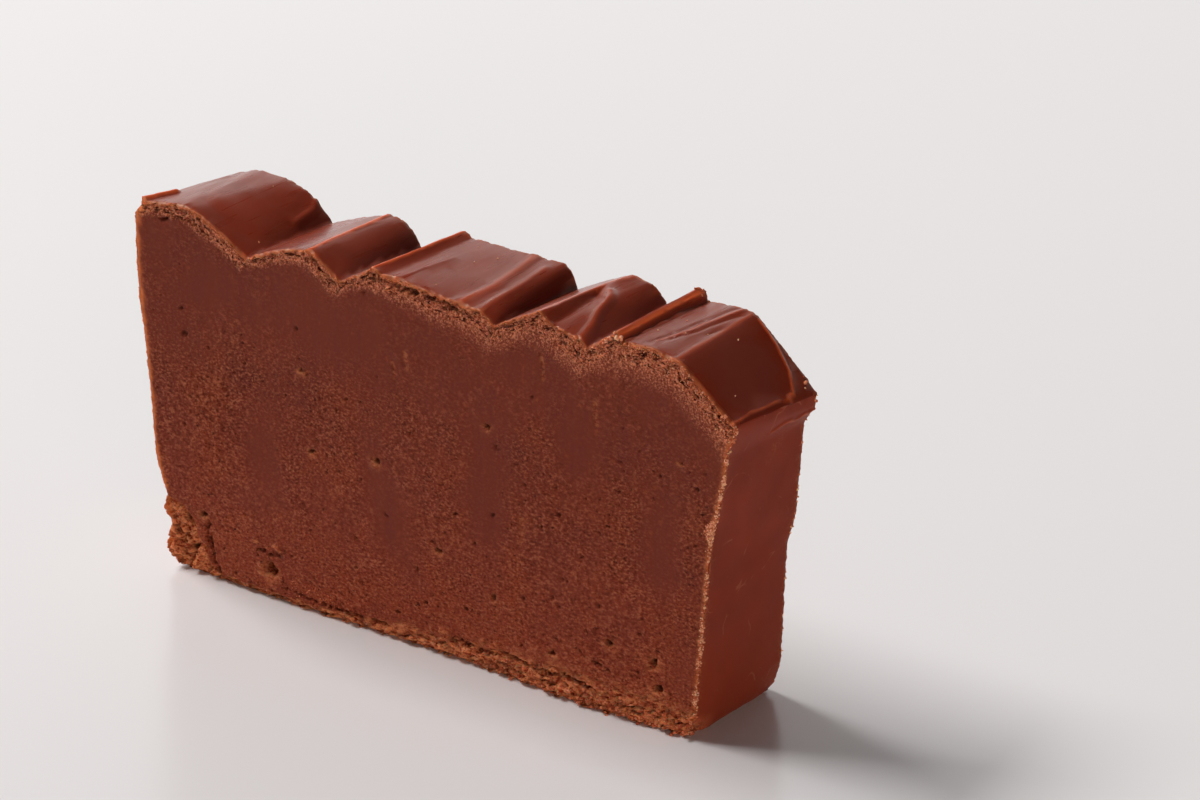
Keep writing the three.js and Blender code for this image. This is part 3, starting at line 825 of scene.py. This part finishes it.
# Painted shade on the steep slope, a painted glow where the skin is thin, and paler torn fudge
colour = "#7f2f1d"
for share, tint in ((clouds, "#8b3522"), (steep, "#76230f"), (glow, "#e2622f"), (torn_share, "#b86a42")):
    colour = node(top, "Mix", {0: share, 6: colour, 7: tint}, 2, data_type="RGBA")
streaks = node(top, "Math", {0: streaks, 1: calm}, operation="MULTIPLY")
gloss = node(top, "MapRange", {0: streaks, 1: 0.3, 2: 0.7, 3: 0.26, 4: 0.34})
gloss, relief = (
    node(top, "Math", {0: part, 1: 0.4, 2: rest}, operation="MULTIPLY_ADD")
    for part, rest in ((torn, gloss), (orange_peel, streaks))
)
ripple = node(top, "Bump", {"Strength": 0.3, "Distance": 0.05 * MM, "Height": relief})
finish(top, shader, Base_Color=colour, Roughness=gloss, Normal=ripple)

# The loaf's side, set against the scraper: smooth and dull, with a few pale curved scratches, painted
# bounce light that makes it lighter towards the bottom, painted shade that makes it darker and greyer
# towards the left end, and a painted glow where it is thin
end, shader, place = fudge_material("scraped_fudge_side", specular=0.06, roughness=0.48, glow_depth=0.7)
torn, thin_glow = (node(end, "Attribute", {}, "Fac", attribute_name=name) for name in ("torn", "thin_glow"))
sideways, height = (node(end, "SeparateXYZ", {0: place}, axis) for axis in ("X", "Z"))
clouds, kept, powder, faint = (
    node(end, "TexNoise", {"Vector": place, "Scale": 1 / size, "Detail": detail})
    for size, detail in ((6.0, 4.0), (4.0, 2.0), (0.38, 3.0), (0.5, 3.0))
)
warp = node(end, "TexNoise", {"Vector": place, "Scale": 1 / 9.0, "Detail": 2.0}, "Color")
bent = node(end, "VectorMath", {0: warp, 1: (9.0, 9.0, 9.0), 2: place}, operation="MULTIPLY_ADD")
web = node(end, "TexVoronoi", {"Vector": bent, "Scale": 1 / 13.0}, feature="DISTANCE_TO_EDGE")
clouds, low, left_end_shade, web, kept, glow, powder = (
    node(end, "MapRange", {0: pattern, 1: none, 2: full, 4: most})
    for pattern, none, full, most in (
        (clouds, 0.3, 0.7, 1.0), (height, 30, 3, 0.5), (sideways, 0, -30, 0.75), (web, 0.012, 0.004, 1.0),
        (kept, 0.54, 0.62, 0.4), (thin_glow, 0.15, 1.0, 0.75), (powder, 0.4, 0.6, 1.0),
    )
)
scratch, torn_share = (
    node(end, "Math", {0: mask, 1: share}, operation="MULTIPLY")
    for mask, share in ((web, kept), (torn, 0.8))
)
raw = node(end, "Mix", {0: powder, 6: "#7c3120", 7: "#c47850"}, 2, data_type="RGBA")
# Painted bounce light towards the bottom, painted shade towards the left end, pale scratches, a painted
# glow where thin, and torn fudge
colour = "#802f1e"
for share, tint in (
    (clouds, "#8d3623"), (low, "#9c4128"), (left_end_shade, "#6a3228"), (scratch, "#b4694c"),
    (glow, "#b2583a"), (torn_share, raw),
):
    colour = node(end, "Mix", {0: share, 6: colour, 7: tint}, 2, data_type="RGBA")
dull = node(end, "MapRange", {0: clouds, 3: 0.42, 4: 0.52})
faint = node(end, "Math", {0: scratch, 1: 1.0, 2: faint}, operation="MULTIPLY_ADD")
ripple = node(end, "Bump", {"Strength": 0.2, "Distance": 0.06 * MM, "Height": faint})
finish(end, shader, Base_Color=colour, Roughness=dull, Normal=ripple)

for material in (cut, top, end):
    body.data.materials.append(material)
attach(body, "root")
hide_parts("fudge_slice")


# ------------------------------------------------------------
# Crumbs. Dry, pale grains of the same fudge that the knife pulled loose and left sticking under the
# skin, along the upright edges and at the foot. They are angular, and no two are alike.

# Dried fudge: without its fat and shine, so paler, tan and quite matt
dried, shader, place = fudge_material("dry_fudge_crumb", specular=0.05, roughness=0.8, glow_depth=0.05)
tone = node(dried, "Attribute", {}, "Fac", attribute_name="tone")
darker, paler = (
    node(dried, "MapRange", {0: tone, 1: none, 2: full}) for none, full in ((0, 0.5), (0.5, 1.0))
)
colour = "#8e3a26"
for share, tint in ((darker, "#d07450"), (paler, "#fabf98")):
    colour = node(dried, "Mix", {0: share, 6: colour, 7: tint}, 2, data_type="RGBA")
dust = node(dried, "TexNoise", {"Vector": place, "Scale": 1 / 0.15, "Detail": 2.0})
powder = node(dried, "Bump", {"Strength": 0.3, "Distance": 0.06 * MM, "Height": dust})
finish(dried, shader, Base_Color=colour, Normal=powder)


def crumb_ball(subdivisions):
    """A ball of triangles, as its points and faces."""
    shape = bmesh.new()
    bmesh.ops.create_icosphere(shape, subdivisions=subdivisions, radius=1.0)
    corners = np.array([corner.co for corner in shape.verts])
    triangles = np.array([[corner.index for corner in face.verts] for face in shape.faces])
    shape.free()
    return corners, triangles


def random_turns(count, chance):
    """As many random rotations, as matrices."""
    a, (b, c, d) = np.ones(count), chance.normal(size=(3, count)) * 3.0
    long = np.sqrt(a * a + b * b + c * c + d * d)
    a, b, c, d = a / long, b / long, c / long, d / long
    return np.array([
        [1 - 2 * (c * c + d * d), 2 * (b * c - a * d), 2 * (b * d + a * c)],
        [2 * (b * c + a * d), 1 - 2 * (b * b + d * d), 2 * (c * d - a * b)],
        [2 * (b * d - a * c), 2 * (c * d + a * b), 1 - 2 * (b * b + c * c)],
    ]).transpose(2, 0, 1)


def pick(weight, count, seed):
    """Random points of the slice, most of them where weight is high."""
    return np.random.default_rng(seed).choice(len(weight), count, p=weight / weight.sum())


def on_top(places):
    """The points of the top that lie nearest to some places, as (x, y)."""
    top = np.flatnonzero(on["top"])
    return [top[np.argmin(np.hypot(x[top] - u, y[top] - v))] for u, v in places]


def scatter(name, picked, sizes, pale, seed, ball=1, rough=0.55, sink=0.35):
    """Joins crumbs into one piece, sunk into the slice at the points picked, and light where pale is."""
    chance = np.random.default_rng(seed)
    count = len(picked)
    corners, triangles = crumb_ball(ball)
    size = lerp(*sizes, chance.random(count) ** 2.2)
    tone = np.broadcast_to(pale, len(points))[picked] * (0.25 + chance.random(count))
    facing = normals[picked]
    aside = chance.normal(size=(count, 3)) * 0.16
    aside -= (aside * facing).sum(1)[:, None] * facing
    middle = points[picked] + aside + facing * (size * (0.5 - sink) * 0.8)[:, None]
    shape = corners * (1 + rough * (chance.random((count, len(corners), 1)) - 0.6))
    stretch = lerp(0.55, 1.45, chance.random((count, 1, 3)))
    shape = np.einsum("nij,nvj->nvi", random_turns(count, chance), shape * stretch)
    placed = (middle[:, None] + shape * 0.5 * size[:, None, None]).reshape(-1, 3)
    placed[:, 2] = np.maximum(placed[:, 2], 0.02)  # above the board
    joined = (triangles + np.arange(count)[:, None, None] * len(corners)).reshape(-1, 3)
    piece = build(name, placed, joined, {"tone": np.repeat(np.clip(tone, 0, 1), len(corners))})
    piece.data.materials.append(dried)
    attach(piece, "root")


on = {side: on_side for side, (_, on_side, _) in SIDES.items()}
cuts = on["front"] | on["back"]
to_right = smooth(x, -40, 45)
patchy = smooth(rubble(x + 3 * across, z, 3.0, 900), -0.5, 0.5)
under_skin = cuts * np.exp(-distance["top"] / lerp(0.7, 1.4, to_right)) * (distance["top"] < 5)
under_skin *= smooth(distance["top"], 0.05, 0.3) * (0.2 + patchy) * (0.35 + 0.65 * to_right)
under_skin *= 1 - 0.9 * on["back"] * (distance["top"] < 0.6)
picked = pick(under_skin, count=2600, seed=41)
pale = lerp(0.5, 0.7, to_right)
scatter("crumbs_under_the_skin", picked, sizes=(0.14, 0.36), pale=pale, seed=41, sink=0.7)

# The upright edges are dusted, the right one most of all at a cluster a little above its middle.
ends_gap = np.minimum(distance["left"], distance["right"])
cut_gap = np.minimum(distance["front"], distance["back"])
cluster = bump((z - 38.6) / 2.8) * (x > 0)
upright = np.clip(0.45 + 1.2 * cluster - ends_gap, 0, 0.45) * np.clip(0.4 - cut_gap, 0, 1)
upright *= 1 - 0.97 * on["back"]
upright *= (0.05 + patchy**3 + cluster) * smooth(distance["top"], 0, 1.0)
upright *= 1 - 0.85 * (across > 0.5)
picked = pick(upright, count=1600, seed=42)
scatter("crumbs_on_the_upright_edges", picked, sizes=(0.15, 0.5), pale=0.9, seed=42, sink=0.6)

foot_band = cuts * np.clip(1 - z / lerp(2.2, 5.4, smooth(x, -30, 40)), 0, 1)
foot_band += 2.5 * on["front"] * bump((x + 26) / 9) * bump((z - 3.8) / 2.0) * patchy
corner_chunk = (cuts | on["left"]) * fade(np.hypot(distance["left"] / 12, z / 14), 0.7, 1.0)
picked = pick((foot_band + 0.25 * corner_chunk) * (0.2 + patchy), count=1300, seed=43)
scatter("crumbs_at_the_foot", picked, sizes=(0.2, 0.8), pale=0.5, seed=43, sink=0.6)

# Specks of dried fudge on the skin, and the bits left at the fin's two ends, in the first valley and at
# the corner of the strip of skin
SPECKS = (
    (46.1, 2.0), (51.4, -0.1), (54.6, 4.0), (-47.8, 6.8), (-32.5, -6.2), (39.6, 1.1), (44.6, -4.0),
    (1.5, -8.6), (3.2, 6.4), (0.6, 3.1), (12.1, -6.9), (-2.7, 8.1), (61.2, -6.0), (49.2, -2.8),
)
scatter("specks_on_the_skin", on_top(SPECKS), sizes=(0.24, 0.42), pale=4.0, seed=45)
BITS = (
    (38.8, -11.6), (39.5, -11.2), (40.3, -11.7), (41.0, -11.0), (41.5, -11.5), (39.9, -10.7),
    (40.6, -11.9), (39.2, -11.0), (40.6, -11.3), (39.8, -12.0), (41.3, -11.9), (38.3, -12.0),
    (41.8, -11.0), (40.6, 11.6), (41.4, 11.2), (42.0, 11.7), (42.6, 11.0), (43.0, 11.6), (41.0, 10.9),
    (-39.7, -5.8), (62.4, 11.2), (63.2, 10.6), (63.8, 9.9),
)
picked = on_top(BITS)
scatter("bits_on_the_ridges", picked, sizes=(0.4, 0.9), pale=0.8, seed=46, ball=2, rough=0.7, sink=0.6)


# ------------------------------------------------------------
# The studio: a honed stone board, a large soft lamp high on the left, a weak warm one low on the right,
# and a room that is pale only behind the left of the slice.
corners = 3000.0 * np.array([(-1, -1, 0), (1, -1, 0), (1, 1, 0), (-1, 1, 0)])
floor = build("pale_board", corners, np.array([(0, 1, 2, 3)]), {})
board = bpy.data.materials.new("honed_pale_stone")
board.use_nodes = True
board_shader = board.node_tree.nodes["Principled BSDF"]
board_shader.inputs["Base Color"].default_value = linear("#e9e7e8")
board_shader.inputs["Roughness"].default_value = 0.22
floor.data.materials.append(board)

# A pale backdrop stands behind the left of the slice, up to a height; the rest of the room is dim.
world = bpy.data.worlds.new("studio")
world.use_nodes = True
direction = node(world, "TexCoord", {}, "Generated")
rise = node(world, "SeparateXYZ", {0: direction}, "Z")
behind = {0: direction, 1: (-0.8, 0.6, 0)}
behind = node(world, "VectorMath", behind, "Value", operation="DOT_PRODUCT")
low, behind = (
    node(world, "MapRange", {0: way, 1: none, 2: full})
    for way, none, full in ((rise, 0.62, 0.48), (behind, 0.25, 0.8))
)
backdrop = node(world, "Math", {0: low, 1: behind}, operation="MULTIPLY")
glow = node(world, "MapRange", {0: backdrop, 3: 0.04, 4: 1.2})
background = world.node_tree.nodes["Background"]
background.inputs["Color"].default_value = linear("#f5f3f3")
world.node_tree.links.new(glow, background.inputs["Strength"])
bpy.context.scene.world = world


def softbox(name, place, size, power, tint):
    """A rectangular lamp that points at the foot of the slice, with its place and size in metres."""
    light = bpy.data.lights.new(name, "AREA")
    light.shape = "RECTANGLE"
    light.size, light.size_y = size
    light.energy = power
    light.color = linear(tint)[:3]
    lamp = bpy.data.objects.new(name, light)
    lamp.location = place
    lamp.rotation_euler = (Vector((0, 0, 0.03)) - Vector(place)).to_track_quat("-Z", "Y").to_euler()
    bpy.context.scene.collection.objects.link(lamp)


softbox("key", (-1.92, -0.2, 2.33), size=(1.7, 0.9), power=92, tint="#fffdfb")
softbox("fill", (1.6, -1.6, 0.32), size=(1.4, 0.6), power=17, tint="#fff2e6")

AZIMUTH, ELEVATION = math.radians(37.03), math.radians(22.31)
LOOK_AT = Vector((29.5, 0, 50.32)) * MM
CAMERA_DISTANCE = 662.7 * MM
camera_data = bpy.data.cameras.new("camera")
camera_data.lens = 120.0
camera_data.sensor_width = 36.0
camera_data.clip_start = 0.01
camera_data.clip_end = 20.0
camera = bpy.data.objects.new("camera", camera_data)
towards = Vector((
    math.sin(AZIMUTH) * math.cos(ELEVATION),
    -math.cos(AZIMUTH) * math.cos(ELEVATION),
    math.sin(ELEVATION),
))
camera.location = LOOK_AT + towards * CAMERA_DISTANCE
camera.rotation_euler = towards.to_track_quat("Z", "Y").to_euler()
bpy.context.scene.collection.objects.link(camera)
bpy.context.scene.camera = camera
bpy.context.scene.view_settings.view_transform = "Standard"
